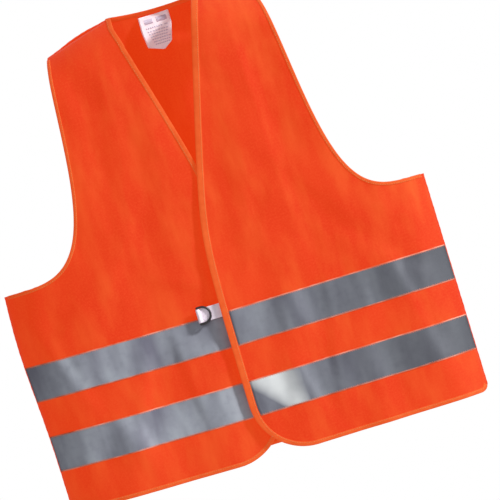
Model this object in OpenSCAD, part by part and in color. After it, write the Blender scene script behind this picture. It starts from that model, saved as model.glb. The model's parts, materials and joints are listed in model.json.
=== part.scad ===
// High visibility vest, hanging as it is worn.
// +Z is up, the fronts face -Y and the wearer's left is +X. The origin is on the shoulder line at the neck.
// Heights called "h" are measured up from the hem. The left front lies over the right front.

/* [Body] */
// Width from side seam to side seam
body_w = 588; // [480:1:720]
// Length from the shoulder line at the neck to the hem
body_l = 632; // [520:1:800]
// Distance of each cloth from the middle plane
half_depth = 35; // [28:1:50]
// Width over which the cloth curves in to each side seam
side_curve = 74; // [60:1:90]
// Height over which the cloth curves in to the shoulder line
shoulder_curve = 45; // [35:1:50]
// Thickness of the cloth
cloth_t = 1; // [0.8:0.1:1.4]

/* [Neck and shoulders] */
// Width from shoulder tip to shoulder tip
shoulder_w = 296; // [240:1:360]
// Drop of the shoulder line from the neck to the tip
shoulder_drop = 28; // [15:1:40]
// Distance of the right neck edge from the middle
neck_right = 51; // [40:1:60]
// Distance of the left neck edge from the middle
neck_left = 63; // [50:1:75]
// Dip of the back neckline in the middle
neck_dip = 4; // [2:1:10]

/* [Armholes] */
// Depth of the armhole below the shoulder tip
armhole_depth = 296; // [240:1:350]
// How far the right armhole's edge leans out before its round corner
armhole_lean_right = 21; // [10:1:32]
// How far the left armhole's edge leans out before its round corner
armhole_lean_left = 29; // [10:1:32]

/* [Front edges] */
// How far the left front's straight edge passes the middle, to the right
over_reach = 24; // [10:1:34]
// How far the right front's straight edge passes the middle, to the left
under_reach = 18; // [5:1:26]
// Depth below the neck at which the left front's edge turns into the V
over_v_depth = 317; // [260:1:340]
// Depth below the neck at which the right front's edge turns into the V
under_v_depth = 264; // [220:1:300]
// Slope of the V edge, sideways per unit of height
v_slope = 0.275; // [0.22:0.005:0.29]
// Softness of the turn into the V
v_soft = 60; // [30:1:80]
// Radius of the front's lower corner
corner_r = 75; // [50:1:90]

/* [Roll lines] */
// Distance of each roll line from the middle at its top
roll_top_x = 62; // [61:1:66]
// Depth of each roll line's top below the neck
roll_top_depth = 47; // [47:1:56]
// Angle by which the left front stands out over the right front
over_lift = 2; // [2:0.1:3]

/* [Reflective tape] */
// Width of each reflective band
tape_w = 50; // [40:1:60]
// Height of the lower band above the hem
tape_low_h = 58; // [40:1:70]
// Height of the upper band above the hem
tape_high_h = 157; // [140:1:190]
// Thickness of the tape
tape_t = 0.4; // [0.3:0.1:0.6]

/* [Binding] */
// Width of the binding on the front edges
edge_binding_w = 10; // [7:1:13]
// Width of the binding on the hem
hem_binding_w = 8; // [6:1:11]
// Width of the binding on the neck and the armholes
arm_binding_w = 6; // [5:1:9]
// Thickness of the binding cloth
binding_t = 0.5; // [0.4:0.1:0.7]

/* [Closure] */
// Width of the white webbing
webbing_w = 19; // [15:1:25]
// Thickness of the white webbing
webbing_t = 1; // [0.8:0.1:1.2]
// Height of the tab and the strap above the hem, at their middle
closure_h = 211; // [200:1:240]
// How far the tab reaches out past the front edge
tab_reach = 34; // [30:1:44]
// Length of each sewn end on the fronts
sewn_end_l = 20; // [14:1:24]
// Diameter of the ring's rod
ring_rod_d = 3; // [2:0.1:3.6]
// Length of the ring from its bar to its round end, between rod centres
ring_l = 16; // [14:1:20]
// Length of the strap's free end
strap_l = 110; // [80:1:120]
// Length of each hook or loop patch
patch_l = 38; // [25:1:45]

/* [Label] */
// Width of the care label
label_w = 43; // [30:1:50]
// Length of the care label
label_l = 50; // [30:1:60]
// Distance of the label's middle from the vest's middle, to the left
label_x = 8; // [0:1:12]

/* [Hidden] */

CLOTH = "#e8431c";
TRIM = "#fa7a3c";
TAPE = "#8a9099";
WEBBING = "#f0e6ea";
PLASTIC = "#1c1a1c";

RIGHT = -1;
LEFT = 1;
FRONT = -1;
BACK = 1;

seam_gap = 0.3;      // between the fronts and the back along the seams
roll_gap = 0.3;      // between the two sides of a roll line
lay_gap = 0.1;       // between two layers that are sewn together
neck_lay_gap = 0.35; // the same at the neck, where the cloth is curved
arm_lay_gap = 0.75;   // clears the flat facets of the curved side
hinge_gap = 0.3;     // between pieces that move past each other
patch_t = 0.8;
label_t = 0.4;
label_drop = 11;     // label's top seam below the shoulder line
armhole_curl = 0.6;  // power of the armhole's lean
armhole_corner = 4;  // power of the armhole's round corner

half_w = body_w / 2;
flat_x = half_w - side_curve;
tip_x = shoulder_w / 2;
tip_h = body_l - shoulder_drop;
shoulder_soft = 30;  // rounds the two shoulder lines into each other across the neck
shoulder_run = norm([tip_x, shoulder_soft]) - norm([(neck_right + neck_left) / 2, shoulder_soft]);
shoulder_slope = shoulder_drop / shoulder_run;
underarm_h = tip_h - armhole_depth;
roll_top_h = body_l - roll_top_depth;
roll_hem_x = flat_x - 5;
roll_run = (roll_hem_x - roll_top_x) / roll_top_h;
roll_tilt = atan(roll_run);
binding_rise = lay_gap + binding_t;
roll_y = -(seam_gap / 2 + half_depth + cloth_t + binding_rise + hinge_gap);

// Height of the shoulder line at x, carried on across the neck
function shoulder_h(x) =
    tip_h + shoulder_slope * (norm([tip_x, shoulder_soft]) - norm([x, shoulder_soft]));

// Distance of either cloth from the middle plane, at x and height h
function depth(x, h) =
    let (s = max(0, (abs(x) - flat_x) / side_curve))
    let (q = min(1, max(0, (shoulder_h(x) - h) / shoulder_curve)))
    half_depth * (1 - s * s) * (1 - (1 - q) * (1 - q));

// Distance of the armhole's edge from the middle; a runs from 0 at the tip to 90 at the underarm
function arm_t(a) = pow(sin(a), 2 / armhole_corner);
function arm_h(a) = tip_h - armhole_depth * arm_t(a);
function arm_x(side, a) =
    let (lean = side == LEFT ? armhole_lean_left : armhole_lean_right)
    tip_x + lean * pow(arm_t(a), armhole_curl)
    + (half_w - tip_x - lean) * (1 - pow(cos(a), 2 / armhole_corner));
function arm_angle(h) = asin(min(1, pow(max(0, tip_h - h) / armhole_depth, armhole_corner / 2)));

// Roll line: its distance from the middle at height h
function roll_x(h) = roll_top_x + (roll_top_h - h) * roll_run;

// Front edge: its distance from the middle at height h, negative past the middle
function reach(side) = side == LEFT ? over_reach : under_reach;
function neck_x(side) = side == LEFT ? neck_left : neck_right;
function v_start(side) = body_l - (side == LEFT ? over_v_depth : under_v_depth);
function v_edge(side, h) =
    let (d = h - v_start(side))
    min(neck_x(side), v_slope * (sqrt(d * d + v_soft * v_soft) + d) / 2 - reach(side));
function edge_x(side, h) =
    h >= corner_r ? v_edge(side, h)
    : v_edge(side, corner_r) + corner_r - sqrt(corner_r * corner_r - pow(corner_r - h, 2));

// A point of a cloth: side is LEFT or RIGHT, face is FRONT or BACK, lift is how far out of the inner face
function spot(side, face, p, lift) =
    [side * p.x, face * (seam_gap / 2 + depth(p.x, p.y) + lift), p.y - body_l];

// Faces of a closed skin over two layers of rows x cols points, the inner layer first
function skin_faces(rows, cols) =
    let (n = rows * cols)
    concat(
        [for (r = [0 : rows - 2], c = [0 : cols - 2])
            each [[r * cols + c, r * cols + c + 1, (r + 1) * cols + c + 1],
                  [r * cols + c, (r + 1) * cols + c + 1, (r + 1) * cols + c]]],
        [for (r = [0 : rows - 2], c = [0 : cols - 2])
            each [[n + r * cols + c, n + (r + 1) * cols + c + 1, n + r * cols + c + 1],
                  [n + r * cols + c, n + (r + 1) * cols + c, n + (r + 1) * cols + c + 1]]],
        [for (r = [0 : rows - 2], e = [0, 1])
            let (a = r * cols + e * (cols - 1), b = a + cols)
            each e == 0 ? [[a, b, n + b], [a, n + b, n + a]] : [[a, n + b, b], [a, n + a, n + b]]],
        [for (c = [0 : cols - 2], e = [0, 1])
            let (a = e * (rows - 1) * cols + c, b = a + 1)
            each e == 0 ? [[a, n + b, b], [a, n + a, n + b]] : [[a, b, n + b], [a, n + b, n + a]]]
    );

// A sheet of cloth over a grid of [x, h] points; turn flips the faces where the grid is mirrored
module skin(side, face, grid, lift_in, lift_out) {
    rows = len(grid);
    cols = len(grid[0]);
    points = [for (lift = [lift_in, lift_out], row = grid, p = row) spot(side, face, p, lift)];
    faces = skin_faces(rows, cols);
    turned = side * face > 0;
    polyhedron(points, turned ? [for (f = faces) [f[0], f[2], f[1]]] : faces, convexity = 8);
}

// Columns from an inner point to an outer one, close together where the side curves
SIDE_COLS = 9;
function row_points(inner, outer) =
    let (turn_x = min(flat_x, (inner.x + outer.x) / 2))
    [for (c = [0 : SIDE_COLS])
        let (x = c == 0 ? inner.x : turn_x + (outer.x - turn_x) * (c - 1) / (SIDE_COLS - 1))
        [x, inner.y + (outer.y - inner.y) * (x - inner.x) / (outer.x - inner.x)]];

ARM_ROWS = 24;
TOP_ROWS = 8;
arm_top_a = arm_angle(tip_h - shoulder_curve);
// Place of the kth row on the armhole, from the underarm up: close together where the side curves
function row_a(k) = arm_top_a + (90 - arm_top_a) * (1 - pow(k / ARM_ROWS, 2));

// Part of a front that stays: from the roll line, and above it the neck edge, out to the side seam
function front_body_grid(side) =
    let (low_top = roll_top_h - roll_gap / 2)
    concat(
        [for (h = [0, underarm_h]) row_points([roll_x(h) + roll_gap / 2, h], [half_w, h])],
        [for (k = [1 : ARM_ROWS])
            let (a = row_a(k))
            let (h = underarm_h + (low_top - underarm_h) * k / ARM_ROWS)
            row_points([roll_x(h) + roll_gap / 2, h], [arm_x(side, a), arm_h(a)])],
        [for (k = [0 : TOP_ROWS])
            let (q = shoulder_curve * (1 - k / TOP_ROWS))
            row_points(neck_point(side, q), [arm_x(side, arm_angle(tip_h - q)), tip_h - q])]
    );

// Neck edge of a front, at q below the shoulder line
function neck_point(side, q) =
    let (x = v_edge(side, body_l - q))
    [x, shoulder_h(x) - q];

// Back neckline height at x, and the top edge of the back
function neckline_h(side, x) =
    let (t = (side * x + neck_right) / (neck_right + neck_left))
    shoulder_h(neck_right) * (1 - t) + shoulder_h(neck_left) * t - neck_dip * 4 * t * (1 - t);
function back_top_h(side, x) = x < neck_x(side) ? neckline_h(side, x) : shoulder_h(x);

NECK_COLS = 4;
function back_cols(side, outer_x) = concat(
    [for (c = [0 : NECK_COLS - 1]) neck_x(side) * c / NECK_COLS],
    let (turn_x = min(flat_x, (neck_x(side) + outer_x) / 2))
    [for (c = [0 : SIDE_COLS])
        c == 0 ? neck_x(side) : turn_x + (outer_x - turn_x) * (c - 1) / (SIDE_COLS - 1)]
);
// One half of the back
function back_half_grid(side) = concat(
    [for (h = [0, underarm_h]) [for (x = back_cols(side, half_w)) [x, h]]],
    [for (k = [1 : ARM_ROWS])
        let (a = row_a(k), f = k / ARM_ROWS)
        let (h = underarm_h + (shoulder_h(0) - shoulder_curve - underarm_h) * f)
        [for (x = back_cols(side, arm_x(side, a))) [x, h + (arm_h(a) - h) * x / arm_x(side, a)]]],
    [for (k = [1 : TOP_ROWS])
        let (f = k / TOP_ROWS, outer_x = arm_x(side, arm_angle(tip_h - shoulder_curve * (1 - f))))
        [for (x = back_cols(side, outer_x))
            let (low = shoulder_h(x) - shoulder_curve)
            [x, low + (back_top_h(side, x) - low) * f]]]
);
// The whole back, as rows that run from the right side to the left side
function back_grid() =
    let (right = back_half_grid(RIGHT), left = back_half_grid(LEFT))
    [for (r = [0 : len(left) - 1]) concat(
        [for (c = [len(right[r]) - 1 : -1 : 1]) [-right[r][c].x, right[r][c].y]],
        left[r])];

// The edge of a flap, from the roll line along the hem, round the corner and up to the roll line's top
CORNER_STEPS = 9;
EDGE_STEPS = 13;
flap_top_h = roll_top_h - roll_gap;
function flap_edge(side) =
    let (corner_x = v_edge(side, corner_r) + corner_r)
    concat(
        [[roll_x(0) - roll_gap / 2, 0]],
        [for (k = [0 : CORNER_STEPS - 1])
            let (a = 90 * k / CORNER_STEPS)
            [corner_x - corner_r * sin(a), corner_r - corner_r * cos(a)]],
        [for (k = [0 : EDGE_STEPS])
            let (h = corner_r + (flap_top_h - corner_r) * k / EDGE_STEPS)
            [v_edge(side, h), h]]
    );

// Unit vector to the inside of a path that keeps the cloth on its right hand
function inward(path, i) =
    let (a = path[max(0, i - 1)], b = path[min(len(path) - 1, i + 1)])
    let (t = (b - a) / norm(b - a))
    [t.y, -t.x];

// Binding folded round a cloth edge. first and last are the directions in which its two ends are cut.
module binding(side, face, path, width, first, last, lay = lay_gap) {
    count = len(path);
    rise = lay + binding_t;
    lifts = [-rise, -lay, cloth_t + lay, cloth_t + rise];
    profile = [
        [-rise, lifts[0]], [width, lifts[0]], [width, lifts[1]], [-lay, lifts[1]],
        [-lay, lifts[2]], [width, lifts[2]], [width, lifts[3]], [-rise, lifts[3]]
    ];
    sides = len(profile);
    points = [for (i = [0 : count - 1])
        let (n = inward(path, i))
        let (cut = i == 0 ? first / (first * n) : i == count - 1 ? last / (last * n) : n)
        for (p = profile) spot(side, face, path[i] + cut * p.x, p.y)];
    ring_faces = [for (i = [0 : count - 2], j = [0 : sides - 1])
        let (a = i * sides + j, b = i * sides + (j + 1) % sides)
        each [[a, b, b + sides], [a, b + sides, a + sides]]];
    cap = [[0, 1, 2], [0, 2, 3], [0, 3, 4], [0, 4, 7], [4, 5, 6], [4, 6, 7]];
    end = (count - 1) * sides;
    faces = concat(
        ring_faces,
        [for (f = cap) [f[0], f[2], f[1]]],
        [for (f = cap) [f[0] + end, f[1] + end, f[2] + end]]
    );
    turned = side * face < 0;
    polyhedron(points, turned ? [for (f = faces) [f[0], f[2], f[1]]] : faces, convexity = 8);
}

// Stands a flat shape, drawn as [distance from the middle, h], in a flap's plane
module flap_plate(side, lift_in, lift_out) {
    y = -(seam_gap / 2 + half_depth);
    mirror([side == RIGHT ? 1 : 0, 0, 0])
        translate([0, y - lift_in, -body_l])
            rotate([90, 0, 0])
                linear_extrude(lift_out - lift_in)
                    children();
}

// Turns the left flap and what is on it out by over_lift, about its roll line
module lifted() {
    foot = [roll_x(0), roll_y, -body_l];
    translate(foot)
        rotate(a = over_lift, v = [-sin(roll_tilt), 0, cos(roll_tilt)])
            translate(-foot)
                children();
}

module flap_cloth(side) {
    edge = flap_edge(side);
    flap_plate(side, 0, cloth_t)
        polygon(concat(edge, [[roll_x(flap_top_h) - roll_gap / 2, flap_top_h]]));
}

// Reflective tape on a flap, from the edge binding to the roll line
module flap_tape(side, low_h) {
    steps = 4;
    heights = [for (k = [0 : steps]) low_h + tape_w * k / steps];
    inner = [for (h = heights) [edge_x(side, h) + edge_binding_w + 2 * lay_gap, h]];
    flap_plate(side, cloth_t + lay_gap, cloth_t + lay_gap + tape_t)
        polygon(concat(inner, [
            [roll_x(low_h + tape_w) - roll_gap / 2, low_h + tape_w],
            [roll_x(low_h) - roll_gap / 2, low_h]
        ]));
}

module body_tape(side, low_h) {
    grid = [for (h = [low_h, low_h + tape_w]) row_points([roll_x(h) + roll_gap / 2, h], [half_w, h])];
    skin(side, FRONT, grid, cloth_t + lay_gap, cloth_t + lay_gap + tape_t);
}

module back_tape(low_h) {
    right = back_cols(RIGHT, half_w);
    left = back_cols(LEFT, half_w);
    across = concat([for (c = [len(right) - 1 : -1 : 1]) -right[c]], left);
    grid = [for (h = [low_h, low_h + tape_w]) [for (x = across) [x, h]]];
    skin(LEFT, BACK, grid, cloth_t + lay_gap, cloth_t + lay_gap + tape_t);
}

module edge_binding(side) {
    binding(side, FRONT, flap_edge(side), edge_binding_w, [-sin(roll_tilt), cos(roll_tilt)], [1, 0]);
}

// Armhole binding on both cloths, from just above the underarm seam to just below the shoulder seam
module armhole_binding(side) {
    seam_clear = 0.6;
    edge = concat(
        [for (k = [TOP_ROWS : -1 : 1]) arm_angle(tip_h - shoulder_curve * (1 - k / TOP_ROWS))],
        [for (k = [ARM_ROWS : -1 : 0]) row_a(k)]);
    path = [for (a = edge) [min(half_w - seam_clear, arm_x(side, a)), min(tip_h - seam_clear, arm_h(a))]];
    for (face = [FRONT, BACK])
        binding(side, face, path, arm_binding_w, [-1, 0], [0, -1], arm_lay_gap);
}

module neck_binding() {
    color(TRIM) {
        neck_edges();
        back_neck_edge();
    }
}

// The V edges above the flaps
module neck_edges() {
    for (side = [RIGHT, LEFT]) {
        path = [for (k = [0 : TOP_ROWS])
            neck_point(side, shoulder_curve + (hinge_gap * 2 - shoulder_curve) * k / TOP_ROWS)];
        binding(side, FRONT, path, arm_binding_w, [1, 0], [1, -shoulder_slope], neck_lay_gap);
    }
}

module back_neck_edge() {
    end_clear = 1;
    for (side = [RIGHT, LEFT]) {
        steps = 2 * NECK_COLS;
        path = [for (k = [0 : steps])
            let (x = (neck_x(side) - end_clear) * k / steps)
            [x, neckline_h(side, x)]];
        binding(side, BACK, path, arm_binding_w, [0, -1], [0, -1], neck_lay_gap);
    }
}

module hem_binding() {
    end_clear = 1;
    color(TRIM)
        for (side = [RIGHT, LEFT]) {
            outer = row_points([roll_x(0) + roll_gap / 2, 0], [half_w - end_clear, 0]);
            back = [for (x = back_cols(side, half_w - end_clear)) [x, 0]];
            front_path = [for (i = [len(outer) - 1 : -1 : 0]) outer[i]];
            back_path = [for (i = [len(back) - 1 : -1 : 0]) back[i]];
            binding(side, FRONT, front_path, hem_binding_w, [0, 1], [-sin(roll_tilt), cos(roll_tilt)]);
            binding(side, BACK, back_path, hem_binding_w, [0, 1], [0, 1]);
        }
}

// A flat length of webbing behind a flap: from and to are distances from the middle, on that side
module flap_webbing(side, from, to, lift, thickness, width = webbing_w) {
    flap_plate(side, -(lift + thickness), -lift)
        translate([from, closure_h - width / 2])
            square([to - from, width]);
}

edge_at_ring = edge_x(LEFT, closure_h);
edge_at_strap = edge_x(RIGHT, closure_h);
webbing_lift = binding_rise + lay_gap;
tab_fold_x = edge_at_ring - binding_rise - hinge_gap;
bar_bore_r = ring_rod_d / 2 + hinge_gap;
bar_x = edge_at_ring - tab_reach + bar_bore_r + webbing_t;
bar_y = -(seam_gap / 2 + half_depth) + webbing_lift - bar_bore_r;

module ring_tab_end() {
    color(WEBBING)
        lifted()
            flap_webbing(LEFT, tab_fold_x + hinge_gap, tab_fold_x + sewn_end_l, webbing_lift, 2 * webbing_t);
}

// The free end of the tab: two layers, closed to a loop round the ring's bar
module ring_tab() {
    color(WEBBING)
        lifted()
            difference() {
                union() {
                    flap_webbing(LEFT, bar_x, tab_fold_x, webbing_lift, 2 * webbing_t);
                    at_bar(-webbing_w / 2)
                        cylinder(r = bar_bore_r + webbing_t, h = webbing_w, $fn = 48);
                }
                at_bar(-webbing_w / 2 - 1)
                    cylinder(r = bar_bore_r, h = webbing_w + 2, $fn = 48);
            }
}

module at_bar(rise) {
    translate([bar_x, bar_y, closure_h - body_l + rise])
        children();
}

// D-ring: a straight bar, two short legs and a half circle, all of one round rod
module d_ring() {
    rod_r = ring_rod_d / 2;
    half_h = webbing_w / 2 + hinge_gap + rod_r;
    leg_l = ring_l - half_h;
    color(PLASTIC)
        lifted()
            at_bar(0) {
                translate([0, 0, -half_h])
                    cylinder(r = rod_r, h = 2 * half_h, $fn = 32);
                for (end = [-1, 1]) {
                    translate([0, 0, end * half_h])
                        sphere(r = rod_r, $fn = 32);
                    translate([0, 0, end * half_h])
                        rotate([0, 90, 0])
                            cylinder(r = rod_r, h = leg_l, $fn = 32);
                }
                translate([leg_l, 0, 0])
                    rotate([90, 0, 0])
                        rotate([0, 0, -90])
                            rotate_extrude(angle = 180, $fn = 64)
                                translate([half_h, 0])
                                    circle(r = rod_r, $fn = 32);
            }
}

// The strap: its sewn end lies behind the right front's edge, where the webbing folds and its free end goes back
strap_from = edge_at_strap + 1;
strap_lift = webbing_lift + webbing_t + lay_gap;

module strap_end() {
    color(WEBBING)
        flap_webbing(RIGHT, strap_from, strap_from + sewn_end_l, webbing_lift, webbing_t);
}

module closure_strap() {
    color(WEBBING)
        flap_webbing(RIGHT, strap_from, strap_from + strap_l, strap_lift, webbing_t);
}

module strap_patch(from) {
    flap_webbing(RIGHT, from, from + patch_l, strap_lift + webbing_t, patch_t, webbing_w - 2);
}

module care_label() {
    top_h = body_l - label_drop;
    top_y = seam_gap / 2 + depth(label_x + label_w / 2, top_h) - hinge_gap - label_t;
    cut = 12;  // cut-off lower corners
    color(WEBBING)
        translate([label_x, top_y, top_h - body_l])
            rotate([90, 0, 0])
                translate([0, 0, -label_t])
                    linear_extrude(label_t)
                        polygon([
                            [-label_w / 2, 0], [label_w / 2, 0], [label_w / 2, cut - label_l],
                            [label_w / 2 - cut, -label_l], [cut - label_w / 2, -label_l],
                            [-label_w / 2, cut - label_l]
                        ]);
}

module cloth_node(side, face, grid) {
    color(CLOTH) skin(side, face, grid, 0, cloth_t);
}

cloth_node(LEFT, BACK, back_grid());  // back_panel
cloth_node(RIGHT, FRONT, front_body_grid(RIGHT));  // right_front_body
cloth_node(LEFT, FRONT, front_body_grid(LEFT));  // left_front_body
color(CLOTH) flap_cloth(RIGHT);  // right_front_flap
color(CLOTH) lifted() flap_cloth(LEFT);  // left_front_flap
color(TAPE) back_tape(tape_low_h);  // back_lower_tape
color(TAPE) back_tape(tape_high_h);  // back_upper_tape
color(TAPE) body_tape(RIGHT, tape_low_h);  // right_body_lower_tape
color(TAPE) body_tape(RIGHT, tape_high_h);  // right_body_upper_tape
color(TAPE) flap_tape(RIGHT, tape_low_h);  // right_flap_lower_tape
color(TAPE) flap_tape(RIGHT, tape_high_h);  // right_flap_upper_tape
color(TAPE) body_tape(LEFT, tape_low_h);  // left_body_lower_tape
color(TAPE) body_tape(LEFT, tape_high_h);  // left_body_upper_tape
color(TAPE) lifted() flap_tape(LEFT, tape_low_h);  // left_flap_lower_tape
color(TAPE) lifted() flap_tape(LEFT, tape_high_h);  // left_flap_upper_tape
neck_binding();
hem_binding();
color(TRIM) armhole_binding(RIGHT);  // right_armhole_binding
color(TRIM) armhole_binding(LEFT);  // left_armhole_binding
color(TRIM) edge_binding(RIGHT);  // right_edge_binding
color(TRIM) lifted() edge_binding(LEFT);  // left_edge_binding
ring_tab_end();
ring_tab();
d_ring();
strap_end();
closure_strap();
color(PLASTIC) strap_patch(strap_from + strap_l - patch_l);  // hook_patch
color(WEBBING) strap_patch(strap_from + 5);  // loop_patch
care_label();
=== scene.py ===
"""High visibility vest: the cloth, tape, binding, stitching and closure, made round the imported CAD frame.

Metres, +Z up, the fronts face -Y and the wearer's left is +X. Heights called h are measured up from the hem.
A cloth is a surface over (x, h): x is the distance from the middle towards that side's seam.
"""

import json
import math

import bpy
import numpy as np
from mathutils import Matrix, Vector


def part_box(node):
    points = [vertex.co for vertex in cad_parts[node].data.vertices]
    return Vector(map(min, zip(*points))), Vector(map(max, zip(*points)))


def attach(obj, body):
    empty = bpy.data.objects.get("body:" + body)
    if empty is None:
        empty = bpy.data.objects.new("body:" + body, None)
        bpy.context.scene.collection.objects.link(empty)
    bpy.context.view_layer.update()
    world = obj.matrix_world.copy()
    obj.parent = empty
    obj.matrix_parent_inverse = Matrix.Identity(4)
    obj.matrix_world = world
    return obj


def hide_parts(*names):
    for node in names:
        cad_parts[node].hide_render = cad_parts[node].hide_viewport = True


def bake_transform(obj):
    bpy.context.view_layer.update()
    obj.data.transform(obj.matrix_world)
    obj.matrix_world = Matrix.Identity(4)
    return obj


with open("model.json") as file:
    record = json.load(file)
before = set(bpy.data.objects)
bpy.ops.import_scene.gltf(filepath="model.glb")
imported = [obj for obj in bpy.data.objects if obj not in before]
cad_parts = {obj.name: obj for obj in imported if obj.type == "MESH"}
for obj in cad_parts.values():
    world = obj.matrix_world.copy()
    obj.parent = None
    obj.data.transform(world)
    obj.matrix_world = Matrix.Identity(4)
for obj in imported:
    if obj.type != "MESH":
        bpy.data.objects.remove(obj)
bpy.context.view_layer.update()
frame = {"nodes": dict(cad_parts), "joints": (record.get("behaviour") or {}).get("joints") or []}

RIGHT, LEFT = -1, 1
FRONT, BACK = -1, 1
MM = 0.001

# ---------------------------------------- sizes read from the frame
back_lo, back_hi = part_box("back_panel")
HALF_W = back_hi.x
HEM_Z = back_lo.z
BODY_L = -HEM_Z
SEAM = 0.15 * MM
CAD_CLOTH_T = 1 * MM
HALF_DEPTH = back_hi.y - CAD_CLOTH_T - SEAM
arm_lo, arm_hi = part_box("left_armhole_binding")
ARM_BINDING_HANG = 5.4 * MM  # how far that binding reaches below the armhole's edge
UNDERARM_H = arm_lo.z + ARM_BINDING_HANG - HEM_Z
TIP_H = arm_hi.z - HEM_Z
ARMHOLE_DEPTH = TIP_H - UNDERARM_H
tape_lo, tape_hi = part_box("back_lower_tape")
TAPE_LOW_H = tape_lo.z - HEM_Z
TAPE_HIGH_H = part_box("back_upper_tape")[0].z - HEM_Z
TAPE_W = tape_hi.z - tape_lo.z
LEVELS = (("lower", TAPE_LOW_H), ("upper", TAPE_HIGH_H))
strap_lo, strap_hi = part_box("strap_end")
CLOSURE_Z = (strap_lo.z + strap_hi.z) / 2
CLOSURE_H = CLOSURE_Z - HEM_Z
WEBBING_W = strap_hi.z - strap_lo.z
joints = {j["name"]: j for j in frame["joints"]}
ROLL_Y = joints["left_front_opens"]["pos_m"][1]

# ---------------------------------------- sizes of the cut
SIDE_CURVE = 74 * MM
SHOULDER_CURVE = 45 * MM
FLAT_X = HALF_W - SIDE_CURVE
TIP_X = 148 * MM
SHOULDER_DROP = 28 * MM
SHOULDER_SOFT = 30 * MM
SHOULDER_BOW = 3 * MM
NECK_X = {RIGHT: 51 * MM, LEFT: 63 * MM}
NECK_DIP = 2 * MM
ARMHOLE_LEAN = {RIGHT: 20 * MM, LEFT: 31 * MM}
REACH = {RIGHT: 18 * MM, LEFT: 24 * MM}
V_DEPTH = {RIGHT: 264 * MM, LEFT: 317 * MM}
V_SLOPE = 0.275
V_SOFT = 60 * MM
CORNER_R = 75 * MM
SIDE_CORNER_R = 10 * MM
ROLL_TOP_X = 62 * MM
ROLL_TOP_H = BODY_L - 47 * MM
ROLL_HEM_X = FLAT_X - 5 * MM
ROLL_RUN = (ROLL_HEM_X - ROLL_TOP_X) / ROLL_TOP_H
ROLL_TILT = math.atan(ROLL_RUN)
OVER_LIFT = math.radians(2)
ROLL_SOFT = 8 * MM  # how gently the over front starts to lift past its roll line
EDGE_CURL = 5 * MM  # how far the over front's edge curls out, most at the closure
TAB_CURL = 0.62  # the tab's share of that curl
SIDE_NAME = {RIGHT: "right", LEFT: "left"}

CLOTH_T = 0.6 * MM
TAPE_T = 0.35 * MM
TRIM_T = 0.55 * MM
WEBBING_T = 1 * MM
TAPE_LIFT = CLOTH_T + 0.15 * MM
TRIM_TOP = CLOTH_T + TRIM_T * 1.45
MARGIN_W = 1.6 * MM
EDGE_TRIM_W = {RIGHT: 6.6 * MM, LEFT: 9 * MM}
HEM_TRIM_W = 5.5 * MM
ARM_TRIM_W = 4.5 * MM
STITCH_PITCH = 3.2 * MM
STITCH_L = 2.5 * MM
STITCH_R = 0.22 * MM
TAPE_STITCH_IN = 2.4 * MM
EDGE_STITCH_IN, HEM_STITCH_IN, ARM_STITCH_IN = 1.6 * MM, 1.4 * MM, 1.2 * MM

CLOTH_STEP = 4.5 * MM
PATH_STEP = 4 * MM
TRIM_STEP = 3 * MM
ARM_ROWS = 78
FRONT_COLS = 70
NECK_COLS, BACK_COLS = 12, 52
FRONT_BAND_COLS, BACK_BAND_COLS = 84, 150
LABEL_ROWS, LABEL_COLS = 22, 20

SHOULDER_RUN = math.hypot(TIP_X, SHOULDER_SOFT) - math.hypot(
    (NECK_X[RIGHT] + NECK_X[LEFT]) / 2, SHOULDER_SOFT
)
SHOULDER_SLOPE = SHOULDER_DROP / SHOULDER_RUN


def shoulder_h(x):
    """Height of the shoulder line, which bows up a little between the neck and the tip."""
    along = np.clip((np.abs(x) - NECK_X[RIGHT]) / (TIP_X - NECK_X[RIGHT]), 0, 1)
    line = SHOULDER_SLOPE * (math.hypot(TIP_X, SHOULDER_SOFT) - np.hypot(x, SHOULDER_SOFT))
    return TIP_H + line + SHOULDER_BOW * np.sin(math.pi * along) ** 2


def depth(x, h):
    """Distance of either cloth from the middle plane, before its folds."""
    s = np.clip((np.abs(x) - FLAT_X) / SIDE_CURVE, 0, 1)
    q = np.clip((shoulder_h(x) - h) / SHOULDER_CURVE, 0, 1)
    return HALF_DEPTH * (1 - s * s) * (1 - (1 - q) ** 2)


def arm_edge(side, a):
    """The armhole's edge as (x, h); a runs from 0 at the shoulder tip to pi/2 at the underarm."""
    t = np.sqrt(np.sin(a))
    corner = 1 - np.sqrt(np.clip(np.cos(a), 0, 1))
    x = TIP_X + ARMHOLE_LEAN[side] * t**0.6 + (HALF_W - TIP_X - ARMHOLE_LEAN[side]) * corner
    return x, TIP_H - ARMHOLE_DEPTH * t


def arm_angle(h):
    return np.arcsin(np.clip(((TIP_H - h) / ARMHOLE_DEPTH), 0, 1) ** 2)


def v_edge(side, h):
    d = h - (BODY_L - V_DEPTH[side])
    return np.minimum(NECK_X[side], V_SLOPE * (np.sqrt(d * d + V_SOFT**2) + d) / 2 - REACH[side])


def front_edge_x(side, h):
    """Front edge with its round lower corner."""
    low = np.clip(CORNER_R - h, 0, CORNER_R)
    return v_edge(side, np.maximum(h, CORNER_R)) + CORNER_R - np.sqrt(CORNER_R**2 - low**2)


def side_x(h):
    """Side seam with its small round lower corner."""
    low = np.clip(SIDE_CORNER_R - h, 0, SIDE_CORNER_R)
    return HALF_W - SIDE_CORNER_R + np.sqrt(SIDE_CORNER_R**2 - low**2)


def roll_side(x, h):
    """Distance past the roll line, towards the front edge."""
    return (ROLL_TOP_X + (ROLL_TOP_H - h) * ROLL_RUN - x) * math.cos(ROLL_TILT)


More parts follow.
